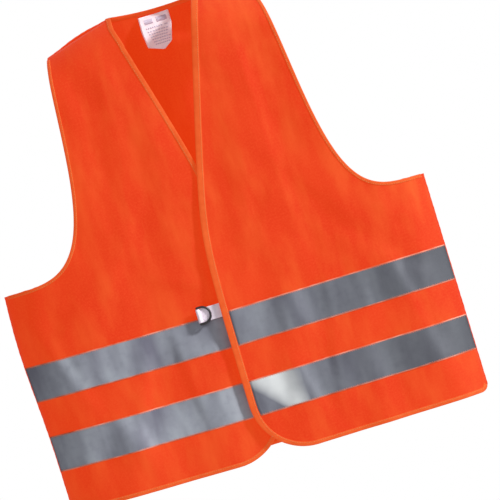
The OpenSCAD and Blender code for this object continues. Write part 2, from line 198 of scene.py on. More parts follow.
# ---------------------------------------- folds in the cloth
def waves(seed, count, length, angle, spread, u, v):
    """Smooth random folds about 1 high. length is across a fold, and angle is 0 for upright ones."""
    rng = np.random.default_rng(seed)
    total = np.zeros_like(u)
    for _ in range(count):
        k = 2 * math.pi / (length * rng.uniform(0.7, 1.5))
        a = angle + spread * rng.uniform(-1, 1)
        total += np.sin(k * (u * math.cos(a) + v * math.sin(a)) + rng.uniform(0, 2 * math.pi))
    return total / math.sqrt(count)


def crease(u, v, at, angle, right_w, left_w, reach):
    """A long soft ridge through a point, at that angle from upright, falling off over its two widths."""
    c, s = math.cos(angle), math.sin(angle)
    across = (u - at[0]) * c + (v - at[1]) * s
    along = -(u - at[0]) * s + (v - at[1]) * c
    width = np.where(across < 0, right_w, left_w)
    return np.exp(-((across / width) ** 2)) * np.exp(-((along / reach) ** 4))


# Long creases of each cloth, in millimetres: (place across and h of the middle, angle from upright,
# width of its right side, width of its left side, reach, height)
FRONT_CREASES = [
    (101, 440, 0.02, 46, 11, 230, 2.9),
    (150, 330, 0.62, 12, 30, 90, 1.3),
    (40, 250, -0.30, 10, 22, 110, -1.4),
    (62, 300, -0.62, 9, 20, 70, 1.3),
    (210, 235, 0.85, 10, 18, 80, -1.4),
    (250, 262, 0.95, 8, 16, 50, 1.1),
    (118, 150, -0.16, 9, 24, 110, 1.5),
    (232, 125, 0.22, 26, 10, 120, 2.5),
    (62, 74, 0.30, 22, 9, 60, 2.0),
    (80, 168, 0.20, 34, 15, 44, 2.4),
    (-178, 72, 0.62, 26, 14, 40, 2.2),
    (170, 66, 0.12, 9, 20, 60, -1.2),
    (20, 520, 1.20, 6, 8, 26, 0.7),
    (34, 505, 1.30, 6, 7, 26, 0.6),
    (-66, 512, 0.43, 30, 26, 78, 2.1),
    (-44, 450, 0.66, 12, 18, 50, 1.2),
    (-100, 450, -0.12, 34, 20, 170, 2.0),
    (-85, 300, 0.22, 12, 22, 120, -1.5),
    (-66, 262, 1.15, 7, 13, 44, 1.1),
    (-150, 290, -0.55, 24, 12, 110, 1.8),
    (-214, 252, -0.85, 9, 20, 70, 1.3),
    (-232, 150, 0.30, 26, 9, 110, 1.9),
    (-196, 88, 0.42, 10, 16, 70, 1.8),
    (-150, 140, -0.35, 16, 9, 90, 2.2),
    (-84, 122, 0.10, 9, 22, 110, 1.9),
    (-128, 560, 0.20, 10, 20, 60, -1.2),
]
BACK_CREASES = [
    (0, 330, 0.02, 30, 12, 220, 1.9),
    (120, 430, -0.2, 14, 30, 150, 2.0),
    (-130, 420, 0.22, 30, 14, 150, 2.0),
    (215, 250, 0.7, 12, 20, 110, 2.0),
    (-215, 240, -0.7, 20, 12, 110, -1.8),
    (-60, 140, -0.1, 24, 10, 130, 1.6),
    (90, 150, 0.15, 10, 24, 130, -1.6),
    (190, 110, 0.1, 12, 26, 120, 2.0),
    (-200, 110, -0.12, 26, 12, 120, 2.0),
]


def folds(face, u, h):
    """How far the cloth stands out of its smooth shape; u is the place across the whole vest."""
    seed = 11 if face == FRONT else 47
    v = h * 0.35
    low = np.clip(1 - h / 0.35, 0, 1)
    w = (1.3 + 1.6 * low) * waves(seed, 7, 0.150, 0.0, 0.22, u, v)
    w += 0.9 * waves(seed + 1, 8, 0.062, 0.15, 0.6, u, h)
    w += 0.22 * waves(seed + 2, 12, 0.021, 0.0, 1.5, u, h)
    for x, at_h, angle, right_w, left_w, reach, height in FRONT_CREASES if face == FRONT else BACK_CREASES:
        w += 1.6 * height * crease(u, h, (x * MM, at_h * MM), angle, right_w * MM, left_w * MM, reach * MM)
    side = np.clip((HALF_W - np.abs(u)) / 0.035, 0, 1)
    top = np.clip((shoulder_h(u) - h) / 0.05, 0, 1)
    if face == FRONT:  # flat where the closure is sewn on
        w = w * (1 - 0.93 * np.exp(-(((u + 0.035) / 0.085) ** 4) - ((h - CLOSURE_H) / 0.034) ** 4))
    return w * MM * side * side * (3 - 2 * side) * top


def hang(face, u, h):
    """How the vest hangs out of true: how far a place is drawn sideways, and up."""
    share = np.clip(-u / HALF_W, 0, 1)
    out = -6.5 * MM * share**2 * np.exp(-(((h - 0.235) / 0.10) ** 2))
    up = 5 * MM * share**1.5
    if face == BACK:
        up = up + 13 * MM * np.exp(-((u / 0.075) ** 2)) * np.clip(1 - h / 0.22, 0, 1) ** 2
    return out, up


def point(side, face, x, h, lift):
    """Places on a cloth, as an (n, 3) array. lift is how far out of the inner face."""
    x, h, lift = np.broadcast_arrays(*(np.asarray(a, float) for a in (x, h, lift)))
    u = side * x
    past = roll_side(x, h)
    if face == FRONT:  # room for the layers to bend with the front
        lift = lift * (1 + 0.8 * np.exp(-((past / (15 * MM)) ** 2)))
    out = SEAM + depth(x, h) + lift + folds(face, u, h)
    if face == FRONT and side == LEFT:
        soft_past = np.log1p(np.exp(np.clip(past / ROLL_SOFT, -30, 30))) * ROLL_SOFT
        out = out + soft_past * math.tan(OVER_LIFT)
        curl = np.exp(-(((x - front_edge_x(LEFT, h)) / 0.034) ** 2) - ((h - CLOSURE_H) / 0.095) ** 2)
        out = out + EDGE_CURL * curl
    aside, up = hang(face, u, h)
    return np.stack([u + aside, face * out, h - BODY_L + up], axis=-1)


def normal_frame(side, face, x, h, lift=0.0, step=0.5 * MM):
    """Points and outward normals of a cloth."""
    p = point(side, face, x, h, lift)
    du = point(side, face, x + step, h, lift) - point(side, face, x - step, h, lift)
    dv = point(side, face, x, h + step, lift) - point(side, face, x, h - step, lift)
    n = np.cross(du, dv)
    n /= np.linalg.norm(n, axis=-1, keepdims=True)
    flip = np.sign(n[..., 1]) * face
    return p, n * np.where(flip == 0, 1, flip)[..., None]


# ---------------------------------------- mesh helpers
def new_piece(name, verts, faces, materials, face_slots=None, uv=None, smooth=True):
    mesh = bpy.data.meshes.new(name)
    mesh.from_pydata([tuple(map(float, v)) for v in verts], [], faces)
    for m in materials:
        mesh.materials.append(m)
    if face_slots is not None:
        mesh.polygons.foreach_set("material_index", np.asarray(face_slots, np.int32))
    if uv is not None:
        layer = mesh.uv_layers.new(name="cut")
        loops = np.empty(len(mesh.loops), np.int32)
        mesh.loops.foreach_get("vertex_index", loops)
        layer.data.foreach_set("uv", np.asarray(uv, np.float32)[loops].ravel())
    mesh.polygons.foreach_set("use_smooth", np.full(len(mesh.polygons), smooth))
    mesh.validate()
    mesh.update()
    obj = bpy.data.objects.new(name, mesh)
    bpy.context.scene.collection.objects.link(obj)
    return obj


def grid_faces(rows, cols, flip=False):
    quads = []
    for r in range(rows - 1):
        for c in range(cols - 1):
            a = r * cols + c
            q = (a, a + 1, a + cols + 1, a + cols)
            quads.append(q[::-1] if flip else q)
    return quads


def tube_faces(rows, ring, start=0, flip=False):
    """Faces round a swept section, as rows of ring points each."""
    faces = []
    for i in range(rows - 1):
        for j in range(ring):
            a, b = start + i * ring + j, start + i * ring + (j + 1) % ring
            q = (a, b, b + ring, a + ring)
            faces.append(q[::-1] if flip else q)
    return faces


def tube_ends(rows, ring, start=0):
    """The two flat ends of a swept section."""
    last = start + (rows - 1) * ring
    return [tuple(range(start, start + ring))[::-1], tuple(range(last, last + ring))]


def tangents(path):
    t = np.gradient(path, axis=0)
    return t / np.linalg.norm(t, axis=1, keepdims=True)


def inward(path, sign=1):
    """Unit vectors across a flat path."""
    t = tangents(path)
    return np.stack([t[:, 1], -t[:, 0]], axis=-1) * sign


def thicken(obj, thickness, offset):
    """Real thickness, grown to the outside (1), the inside (-1) or both sides (0) of the sheet."""
    mod = obj.modifiers.new("thickness", "SOLIDIFY")
    mod.thickness = thickness
    mod.offset = offset
    mod.use_even_offset = False


def sheet_piece(name, side, face, grid, lift, thickness, materials, slots=None):
    """A cloth or tape over rows of (x, h) points. slots gives the material of each face."""
    grid = np.asarray(grid, float)
    rows, cols = grid.shape[:2]
    x, h = grid[..., 0].ravel(), grid[..., 1].ravel()
    verts = point(side, face, x, h, lift)
    flip = side * face > 0
    uv = np.stack([side * x, h], axis=-1)
    obj = new_piece(name, verts, grid_faces(rows, cols, flip), materials, face_slots=slots, uv=uv)
    thicken(obj, thickness, 1.0)
    return obj


def ribbon(name, centre, across, out, profile, material):
    """A strip swept along points. across and out are unit vectors at each; profile is (across, out) places."""
    centre, across, out = (np.asarray(a, float) for a in (centre, across, out))
    n, k = len(centre), len(profile)
    verts = np.concatenate(
        [[centre[i] + across[i] * a + out[i] * b for a, b in profile] for i in range(n)]
    )
    faces = tube_faces(n, k) + tube_ends(n, k)
    length, around = run_lengths(centre), run_lengths(np.array(profile))
    uv = np.array([(length[i], around[j]) for i in range(n) for j in range(k)])
    return new_piece(name, verts, faces, [material], uv=uv)


def run_lengths(path):
    """Distance along the path to each of its points."""
    return np.concatenate([[0], np.cumsum(np.linalg.norm(np.diff(path, axis=0), axis=1))])


def resample(path, step, count=None):
    """The path's points again, evenly spaced about step apart, and the distance to each."""
    path = np.asarray(path, float)
    run = run_lengths(path)
    count = count or max(2, int(round(run[-1] / step)) + 1)
    at = np.linspace(0, run[-1], count)
    return np.stack([np.interp(at, run, path[:, i]) for i in range(path.shape[1])], axis=-1), at


def folded_binding(name, side, face, path, width, material, sign=1):
    """Binding folded round an edge, with small gathers. width is a number or a function of h."""
    flat, along = resample(path, TRIM_STEP)
    wide = width(flat[:, 1]) if callable(width) else np.full(len(flat), width)
    n = inward(flat, sign)
    base, out = normal_frame(side, face, flat[:, 0], flat[:, 1])
    inner = flat + n * wide[:, None]
    across = point(side, face, inner[:, 0], inner[:, 1], 0.0) - base
    across /= np.linalg.norm(across, axis=1, keepdims=True)
    swell = 1 + 0.16 * np.sin(2 * math.pi * along / (11 * MM) + 2 * np.sin(along / 0.027))
    t, c = TRIM_T, CLOTH_T
    # Each corner of the section: share of the width, further distance in, height above the inner face
    outline = [
        (1, 0, -t * 0.7), (0.5, 0, -t), (0, 0.4 * MM, -t * 0.95), (0, -t * 0.7, -t * 0.4),
        (0, -t, c / 2), (0, -t * 0.7, c + t * 0.5), (0, 0.4 * MM, c + t * 1.15), (0.3, 0, c + t * 1.5),
        (0.7, 0, c + t * 1.35), (0.97, 0, c + t), (1, 0, c + t * 0.3),
        (1, 0, c + 0.02 * MM), (0, 0, c + 0.02 * MM), (0, 0, -0.02 * MM), (1, 0, -0.02 * MM),
    ]
    k = len(outline)
    verts = np.zeros((len(flat), k, 3))
    for j, (share, more, b) in enumerate(outline):
        a = share * wide + more
        lift = c + (b - c) * swell if b > c + 0.1 * MM else np.full(len(flat), b)
        q = flat + n * a[:, None]
        on = base + across * a[:, None] if share == 0 else point(side, face, q[:, 0], q[:, 1], 0.0)
        verts[:, j] = on + out * lift[:, None]
    flip = sign * side * face > 0
    faces = tube_faces(len(flat), k, flip=flip)
    end = (len(flat) - 1) * k
    cap = [(0, 1, 2, 13, 14), (2, 3, 4, 5, 6, 12, 13), (6, 7, 8, 9, 10, 11, 12)]
    faces += [f if flip else f[::-1] for f in cap]
    faces += [tuple(end + j for j in (f[::-1] if flip else f)) for f in cap]
    section = [share * float(wide.mean()) + more + (0.02 if b < 0 else 0) for share, more, b in outline]
    uv = np.array([(along[i], section[j]) for i in range(len(flat)) for j in range(k)])
    return new_piece(name, verts.reshape(-1, 3), faces, [material], uv=uv)


def stitch_row(verts, faces, places, out, sink):
    """Adds stitches at these places: each a short spindle along the row, its ends lower by sink."""
    run = tangents(places)
    out = np.broadcast_to(out, run.shape)
    for p, r, o, c in zip(places, run, out, np.cross(out, run)):
        n = len(verts)
        ring = [c * STITCH_R, o * STITCH_R * 1.3, -c * STITCH_R, -o * STITCH_R]
        verts.append(p - r * STITCH_L / 2 - o * sink)
        for at in (-0.3, 0.3):
            verts.extend(p + r * STITCH_L * at + corner for corner in ring)
        verts.append(p + r * STITCH_L / 2 - o * sink)
        for j in range(4):
            a, b = n + 1 + j, n + 1 + (j + 1) % 4
            faces += [(n, b, a), (a, b, b + 4, a + 4), (n + 9, a + 4, b + 4)]


def stitches(name, runs, material):
    """Rows of thread stitches. Each run is (side, face, path, lift), its path given as (x, h) points."""
    verts, faces = [], []
    for side, face, path, lift in runs:
        flat, _ = resample(path, STITCH_PITCH)
        p, out = normal_frame(side, face, flat[:, 0], flat[:, 1])
        stitch_row(verts, faces, p + out * lift, out, STITCH_R)
    return new_piece(name, verts, faces, [material])


# ---------------------------------------- materials
def srgb(r, g, b):
    """A colour of 0 to 255 values, as Blender's linear red, green, blue and alpha."""
    linear = [((c / 255 + 0.055) / 1.055) ** 2.4 if c > 10 else c / 255 / 12.92 for c in (r, g, b)]
    return (*linear, 1.0)


class Nodes:
    """A material's node tree, with short calls that add and join nodes."""

    def __init__(self, name, colour, roughness, **sockets):
        self.material = bpy.data.materials.new(name)
        self.material.use_nodes = True
        self.tree = self.material.node_tree
        self.shader = self.tree.nodes["Principled BSDF"]
        self.shader.inputs["Base Color"].default_value = colour
        self.shader.inputs["Roughness"].default_value = roughness
        for key, value in sockets.items():
            self.shader.inputs[key.replace("_", " ")].default_value = value

    def add(self, kind, **inputs):
        node = self.tree.nodes.new(kind)
        for key, value in inputs.items():
            key = key.replace("_", " ")
            numbered = key[0] == "i" and key[1:].isdigit()
            socket = node.inputs[int(key[1:]) if numbered else key]
            if isinstance(value, bpy.types.NodeSocket):
                self.tree.links.new(value, socket)
            else:
                socket.default_value = value
        return node

    def uv(self, scale=(1, 1, 1), turn=0.0):
        place = self.add("ShaderNodeMapping", Scale=scale, Rotation=(0, 0, turn))
        self.tree.links.new(self.add("ShaderNodeTexCoord").outputs["UV"], place.inputs["Vector"])
        return place.outputs["Vector"]

    def noise(self, scale, detail=2.0, vector=None, roughness=0.5):
        node = self.add("ShaderNodeTexNoise", Scale=scale, Detail=detail, Roughness=roughness)
        self.tree.links.new(vector or self.uv(), node.inputs["Vector"])
        return node.outputs["Fac"]

    def wave(self, pitch, turn=0.0, distort=0.0):
        """Ridges that pitch apart, as threads."""
        node = self.add("ShaderNodeTexWave", Scale=math.pi / (10 * pitch), Distortion=distort, Detail=1.0)
        self.tree.links.new(self.uv(turn=turn), node.inputs["Vector"])
        return node.outputs["Fac"]

    def maths(self, operation, a, b):
        node = self.add("ShaderNodeMath", i0=a, i1=b)
        node.operation = operation
        return node.outputs[0]

    def mix(self, fac, a, b, blend="MIX"):
        node = self.tree.nodes.new("ShaderNodeMix")
        node.data_type, node.blend_type = "RGBA", blend
        for key, value in ((0, fac), (6, a), (7, b)):
            if isinstance(value, bpy.types.NodeSocket):
                self.tree.links.new(value, node.inputs[key])
            else:
                node.inputs[key].default_value = value
        return node.outputs[2]

    def ramp(self, value, low, high):
        node = self.add("ShaderNodeMapRange", Value=value)
        node.inputs["From Min"].default_value, node.inputs["From Max"].default_value = low, high
        return node.outputs["Result"]

    def colour(self, socket):
        self.tree.links.new(socket, self.shader.inputs["Base Color"])

    def rough(self, socket):
        self.tree.links.new(socket, self.shader.inputs["Roughness"])

    def bump(self, height, distance, strength=1.0, then=None):
        node = self.add("ShaderNodeBump", Height=height, Distance=distance, Strength=strength)
        if then is not None:
            self.tree.links.new(then, node.inputs["Normal"])
        self.tree.links.new(node.outputs["Normal"], self.shader.inputs["Normal"])
        return node.outputs["Normal"]


def glow(m, colour, strength):
    """An even light given off by the surface under any lighting. On the cloth and binding it is partly the
    light a fluorescent dye gives back and partly painted light that lifts them where they lie in shade; on the
    floor it keeps the floor evenly bright.
    """
    m.shader.inputs["Emission Color"].default_value = colour
    m.shader.inputs["Emission Strength"].default_value = strength


def knit_cloth():
    m = Nodes("orange_knit", srgb(228, 58, 20), 0.85, Sheen_Weight=0.04, Specular_IOR_Level=0.15)
    wale, course = m.wave(1.15 * MM), m.wave(0.95 * MM, math.pi / 2, 0.4)
    mesh = m.maths("MULTIPLY", wale, course)
    # Long lighter streaks along the cloth: painted sheen.
    sheen_streak = m.noise(26, 4, m.uv((1.0, 0.3, 1.0)), 0.6)
    tone = m.mix(m.ramp(m.noise(6, 3), 0.38, 0.66), srgb(114, 12, 4), srgb(126, 36, 12))
    tone = m.mix(m.maths("MULTIPLY", m.ramp(sheen_streak, 0.45, 0.75), 0.8), tone, srgb(136, 76, 30))
    # Fine lighter flecks: painted sheen.
    sheen_flecks = m.maths("MULTIPLY", m.ramp(m.noise(420, 3), 0.42, 0.75), 0.5)
    tone = m.mix(sheen_flecks, tone, srgb(132, 66, 30))
    # Painted shade: the knit's mesh is painted darker, as shade in its holes.
    tone = m.mix(m.maths("MULTIPLY", mesh, 0.35), tone, srgb(104, 14, 4))
    m.colour(tone)
    first = m.bump(mesh, 0.25 * MM, 0.6)
    m.bump(m.noise(240, 4, roughness=0.65), 0.4 * MM, 0.45, first)
    # Painted light: the cloth glows evenly, partly for its fluorescent dye and partly to lift it where it lies
    # in shade.
    glow(m, srgb(255, 68, 16), 0.63)
    return m.material


def trim_cloth(name, low, high, light):
    m = Nodes(name, low, 0.8, Sheen_Weight=0.04, Specular_IOR_Level=0.15)
    warp, weft = m.wave(0.8 * MM, 0.6), m.wave(0.9 * MM, -0.8)
    weave = m.maths("MAXIMUM", warp, weft)
    tone = m.mix(m.ramp(m.noise(110, 3), 0.35, 0.7), low, high)
    m.colour(m.mix(m.maths("MULTIPLY", weave, 0.3), tone, light))
    first = m.bump(weave, 0.15 * MM, 0.6)
    m.bump(m.noise(210, 2), 0.4 * MM, 0.4, first)
    # Painted light: the binding glows evenly, partly for its fluorescent dye and partly to lift it where it
    # lies in shade.
    glow(m, srgb(255, 82, 24), 0.53)
    return m.material


def bead_tape(name, painted_shade=0.0, painted_glare=None):
    """Glass-bead tape. The second argument is painted shade that darkens it towards the wearer's left; the
    third is where a painted highlight, a slanting wedge, starts.
    """
    m = Nodes(name, srgb(140, 144, 156), 0.42, Metallic=0.3, Specular_IOR_Level=0.5)
    beads, rub = m.noise(2600, 1), m.noise(90, 3)
    # Streaks of painted sheen along the tape, lighter and darker.
    sheen = m.noise(19, 3, m.uv((1.0, 0.3, 1.0)), 0.5)
    tone = m.mix(m.ramp(sheen, 0.34, 0.68), srgb(88, 86, 102), srgb(158, 163, 172))
    tone = m.mix(m.maths("MULTIPLY", m.ramp(rub, 0.5, 0.8), 0.2), tone, srgb(84, 82, 98))
    split = m.add("ShaderNodeSeparateXYZ", Vector=m.uv())
    across, up = split.outputs[0], split.outputs[1]
    # Painted shade, darker towards the wearer's left.
    if painted_shade:
        painted_shade_share = m.maths("MULTIPLY", m.ramp(across, -0.5 * HALF_W, HALF_W), painted_shade)
        tone = m.mix(painted_shade_share, tone, srgb(18, 16, 26))
    if painted_glare:  # painted highlight: a slanting wedge, wide and bright at the top of the tape, narrow and faint at its foot
        below = m.maths("SUBTRACT", TAPE_LOW_H + TAPE_W, up)
        middle = m.maths("ADD", m.maths("MULTIPLY", below, 0.55), painted_glare)
        wide = m.maths("SUBTRACT", 37 * MM, m.maths("MULTIPLY", below, 0.38))
        away = m.maths("DIVIDE", m.maths("SUBTRACT", across, middle), wide)
        lower = m.maths("MULTIPLY", m.maths("DIVIDE", below, TAPE_W), 0.35)
        away = m.maths("ADD", m.maths("MULTIPLY", away, away), lower)
        patchy = m.maths("MULTIPLY", m.maths("SUBTRACT", m.noise(28, 2), 0.5), 0.7)
        away = m.maths("ADD", away, patchy)
        tone = m.mix(m.maths("MULTIPLY", m.ramp(away, 1.3, -0.1), 0.95), tone, srgb(222, 225, 224))
    m.colour(m.mix(m.maths("MULTIPLY", beads, 0.2), tone, srgb(176, 182, 192)))
    m.rough(m.ramp(rub, -1.2, 1.6))
    first = m.bump(beads, 0.05 * MM, 0.5)
    m.bump(m.noise(120, 3), 0.35 * MM, 0.35, first)
    return m.material


def tape_margin():
    m = Nodes("tape_margin", srgb(216, 146, 132), 0.75)
    m.colour(m.mix(m.ramp(m.noise(60, 3), 0.35, 0.7), srgb(190, 82, 48), srgb(212, 134, 112)))
    m.bump(m.wave(0.7 * MM), 0.1 * MM, 0.6)
    return m.material


def thread(name, colour):
    m = Nodes(name, colour, 0.6, Sheen_Weight=0.1)
    m.colour(m.mix(m.noise(1500, 1), tuple(c * 0.85 for c in colour[:3]) + (1,), colour))
    return m.material


def webbing():
    m = Nodes("white_webbing", srgb(222, 212, 220), 0.7, Sheen_Weight=0.1)
    warp, weft = m.wave(1.1 * MM), m.wave(1.3 * MM, math.pi / 2)
    weave = m.maths("MULTIPLY", warp, weft)
    tone = m.mix(m.noise(300, 2), srgb(212, 200, 218), srgb(232, 218, 224))
    m.colour(m.mix(m.maths("MULTIPLY", weave, 0.35), tone, srgb(186, 172, 188)))
    m.bump(weave, 0.3 * MM, 0.7)
    return m.material


def black_plastic():
    m = Nodes("black_plastic", srgb(26, 22, 25), 0.32, Specular_IOR_Level=0.5)
    scuff = m.add("ShaderNodeTexNoise", Scale=900.0, Detail=3.0)
    m.tree.links.new(m.add("ShaderNodeTexCoord").outputs["Object"], scuff.inputs["Vector"])
    m.colour(m.mix(scuff.outputs["Fac"], srgb(18, 15, 18), srgb(40, 34, 38)))
    m.rough(m.ramp(scuff.outputs["Fac"], -0.6, 2.0))
    m.bump(scuff.outputs["Fac"], 0.04 * MM, 0.4)
    return m.material


def pile(name, low, high, scale):
    m = Nodes(name, high, 0.9, Sheen_Weight=0.3)
    nap = m.noise(scale, 4, roughness=0.7)
    m.colour(m.mix(nap, low, high))
    m.bump(nap, 0.5 * MM, 0.9)
    return m.material


def satin():
    m = Nodes("label_satin", srgb(243, 236, 244), 0.45, Sheen_Weight=0.2)
    rib = m.wave(0.5 * MM, math.pi / 2)
    m.colour(m.mix(m.noise(160, 2), srgb(238, 228, 240), srgb(252, 244, 248)))
    m.bump(rib, 0.08 * MM, 0.5)
    return m.material


def label_ink():
    m = Nodes("label_ink", srgb(196, 192, 212), 0.6)
    m.colour(m.mix(m.noise(1200, 3), srgb(182, 178, 202), srgb(222, 216, 232)))
    return m.material


KNIT, MARGIN = knit_cloth(), tape_margin()
TRIM = trim_cloth("binding_weave", srgb(132, 50, 16), srgb(142, 66, 26), srgb(156, 92, 44))
NECK_TRIM = trim_cloth("neck_binding_weave", srgb(128, 38, 10), srgb(138, 52, 18), srgb(148, 68, 28))
BACK_BEADS = bead_tape("retroreflective_back")
# Each tape of a front has its own copy, with painted shade darkening it towards the wearer's left; the left
# lower one also has a painted highlight.
BEADS = {
    (RIGHT, "lower"): bead_tape("retroreflective_right", 0.6),
    (RIGHT, "upper"): bead_tape("retroreflective_right_upper", 0.6),
    (LEFT, "lower"): bead_tape("retroreflective_left", 0.9, 15 * MM),
    (LEFT, "upper"): bead_tape("retroreflective_left_upper", 0.9),
}
ORANGE_THREAD = thread("orange_thread", srgb(206, 136, 76))
GREY_THREAD = thread("grey_thread", srgb(206, 116, 90))
WHITE_THREAD = thread("white_thread", srgb(240, 236, 244))
WEBBING, PLASTIC, SATIN, INK = webbing(), black_plastic(), satin(), label_ink()
HOOKS = pile("hook_pile", srgb(206, 200, 206), srgb(240, 236, 240), 1500)
LOOPS = pile("loop_pile", srgb(214, 208, 214), srgb(250, 246, 250), 700)

# ---------------------------------------- camera, at the photo's angle and tilt
PHOTO_TILT = math.asin(0.2924)
AIM = (0.0391, 0.0, -0.3555)
CAMERA_AWAY, FIELD = 5.0, 0.675
camera = bpy.data.objects.new("camera", bpy.data.cameras.new("camera"))
bpy.context.scene.collection.objects.link(camera)
camera.data.lens = camera.data.sensor_width * (CAMERA_AWAY - HALF_DEPTH) / FIELD
camera.location = (AIM[0], -CAMERA_AWAY, AIM[2])
camera.rotation_euler = (math.pi / 2, PHOTO_TILT, 0)
camera.rotation_mode = "XYZ"
bpy.context.scene.camera = camera


# ---------------------------------------- grids of the cut pieces
def rise(low, high, step):
    """Evenly spaced values from low to high, about step apart."""
    return np.linspace(low, high, max(2, int(round(abs(high - low) / step)) + 1))


def arm_points(side):
    """The armhole's edge from the underarm to where the shoulder curve begins, evenly spaced."""
    a = np.linspace(math.pi / 2, arm_angle(TIP_H - SHOULDER_CURVE), 400)
    path, _ = resample(np.stack(arm_edge(side, a), axis=-1), CLOTH_STEP, ARM_ROWS)
    return path


TOP_QS = rise(SHOULDER_CURVE, 0, 3.2 * MM)


def arm_at(side, q):
    return arm_edge(side, arm_angle(TIP_H - q))


def hem_heights():
    corner = CORNER_R * (1 - np.cos(np.linspace(0, math.pi / 2, 15)))
    return np.concatenate([corner[:-1], rise(CORNER_R, UNDERARM_H, CLOTH_STEP)])


def neck_point(side, q):
    x = float(v_edge(side, BODY_L - q))
    return x, float(shoulder_h(x)) - q


def front_grid(side):
    ends = [((float(front_edge_x(side, h)), h), (float(side_x(h)), h)) for h in hem_heights()]
    arm = arm_points(side)[1:]
    low, high = UNDERARM_H, neck_point(side, SHOULDER_CURVE)[1]
    for k, p in enumerate(arm):
        h = low + (high - low) * (k + 1) / (len(arm) + 1)
        ends.append(((float(front_edge_x(side, h)), h), tuple(p)))
    ends += [(neck_point(side, q), arm_at(side, q)) for q in TOP_QS]
    t = np.linspace(0, 1, FRONT_COLS)[:, None]
    return np.array([np.array(a) * (1 - t) + np.array(b) * t for a, b in ends])


def neckline_h(side, x):
    t = (side * x + NECK_X[RIGHT]) / (NECK_X[RIGHT] + NECK_X[LEFT])
    level = shoulder_h(NECK_X[RIGHT]) * (1 - t) + shoulder_h(NECK_X[LEFT]) * t
    return level - NECK_DIP * 4 * t * (1 - t)


def back_columns(side, outer):
    neck = np.linspace(0, NECK_X[side], NECK_COLS)[:-1]
    return np.concatenate([neck, np.linspace(NECK_X[side], outer, BACK_COLS)])


def level_row(x, h):
    return np.stack([x, np.full(len(x), h)], -1)


def back_half(side):
    rows = [level_row(back_columns(side, float(side_x(h))), h) for h in hem_heights()]
    arm = arm_points(side)[1:]
    middle_top = float(shoulder_h(0.0)) - SHOULDER_CURVE
    for k, (x_arm, h_arm) in enumerate(arm):
        x = back_columns(side, x_arm)
        h = UNDERARM_H + (middle_top - UNDERARM_H) * (k + 1) / len(arm)
        rows.append(np.stack([x, h + (h_arm - h) * x / x_arm], -1))
    for q in TOP_QS[1:]:
        f = 1 - q / SHOULDER_CURVE
        x = back_columns(side, arm_at(side, q)[0])
        low = shoulder_h(x) - SHOULDER_CURVE
        top = np.where(x < NECK_X[side] - 1e-9, neckline_h(side, x), shoulder_h(x))
        rows.append(np.stack([x, low + (top - low) * f], -1))
    return np.array(rows)


def back_grid():
    right, left = back_half(RIGHT), back_half(LEFT)
    mirrored = right[:, :0:-1] * np.array([-1.0, 1.0])
    return np.concatenate([mirrored, left], axis=1)


def ride_front(obj):
    """Bakes the transform of a piece of a front into its mesh; any lift past the roll line is already in its
    points.
    """
    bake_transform(obj)


# ---------------------------------------- reflective bands
def band_heights(low):
    return low + np.array([0, MARGIN_W, 10 * MM, 20 * MM, 30 * MM, 40 * MM, TAPE_W - MARGIN_W, TAPE_W])


def band(name, side, face, grid, beads):
    rows, cols = grid.shape[:2]
    slots = [1 if r in (0, rows - 2) else 0 for r in range(rows - 1) for _ in range(cols - 1)]
    obj = sheet_piece(name, side, face, grid, TAPE_LIFT, TAPE_T, [beads, MARGIN], slots)
    return obj


def front_band_grid(side, low):
    hs = band_heights(low)
    inner = [float(front_edge_x(side, h)) + EDGE_TRIM_W[side] + 0.3 * MM for h in hs]
    return np.array([level_row(np.linspace(x, HALF_W, FRONT_BAND_COLS), h) for x, h in zip(inner, hs)])


def back_band_grid(low):
    x = np.linspace(-HALF_W, HALF_W, BACK_BAND_COLS)
    return np.array([level_row(x, h) for h in band_heights(low)])


def band_sewing(side, face, grid):
    """The two rows of stitches along a band."""
    return [
        (side, face, grid[row] + np.array([0, step * TAPE_STITCH_IN]), TAPE_LIFT + TAPE_T)
        for row, step in ((0, 1), (-1, -1))
    ]


# ---------------------------------------- fronts
def front_edge_path(side):
    """From the neck point down the front edge, round the corner and along the hem to the side seam."""
    top = [neck_point(side, q) for q in TOP_QS[::-1]]
    heights = rise(neck_point(side, SHOULDER_CURVE)[1], CORNER_R, PATH_STEP)[1:]
    down = [(float(front_edge_x(side, h)), h) for h in heights]
    centre_x = float(v_edge(side, CORNER_R)) + CORNER_R
    corner = [
        (centre_x - CORNER_R * math.cos(a), CORNER_R - CORNER_R * math.sin(a))
        for a in np.linspace(0, math.pi / 2, 30)[1:]
    ]
    hem = [(x, 0.0) for x in rise(centre_x, HALF_W - SIDE_CORNER_R, PATH_STEP)[1:]]
    return np.array(top + down + corner + hem + side_corner())


def side_corner():
    """The hem's round end at the side seam."""
    steps = np.linspace(0, 1.35, 9)[1:]
    return [(HALF_W + SIDE_CORNER_R * (math.sin(a) - 1), SIDE_CORNER_R * (1 - math.cos(a))) for a in steps]


def beside(path, width, sign=1):
    """The path moved inward by width, which is a number or a function of h."""
    even, _ = resample(path, TRIM_STEP)
    wide = width(even[:, 1]) if callable(width) else np.full(len(even), width)
    return even + inward(even, sign) * wide[:, None]


def edge_trim(side, less=0.0):
    """Width of a front's binding: narrower along the hem than up the front edge."""
    return lambda h: np.interp(h, (0, CORNER_R), (HEM_TRIM_W, EDGE_TRIM_W[side])) - less


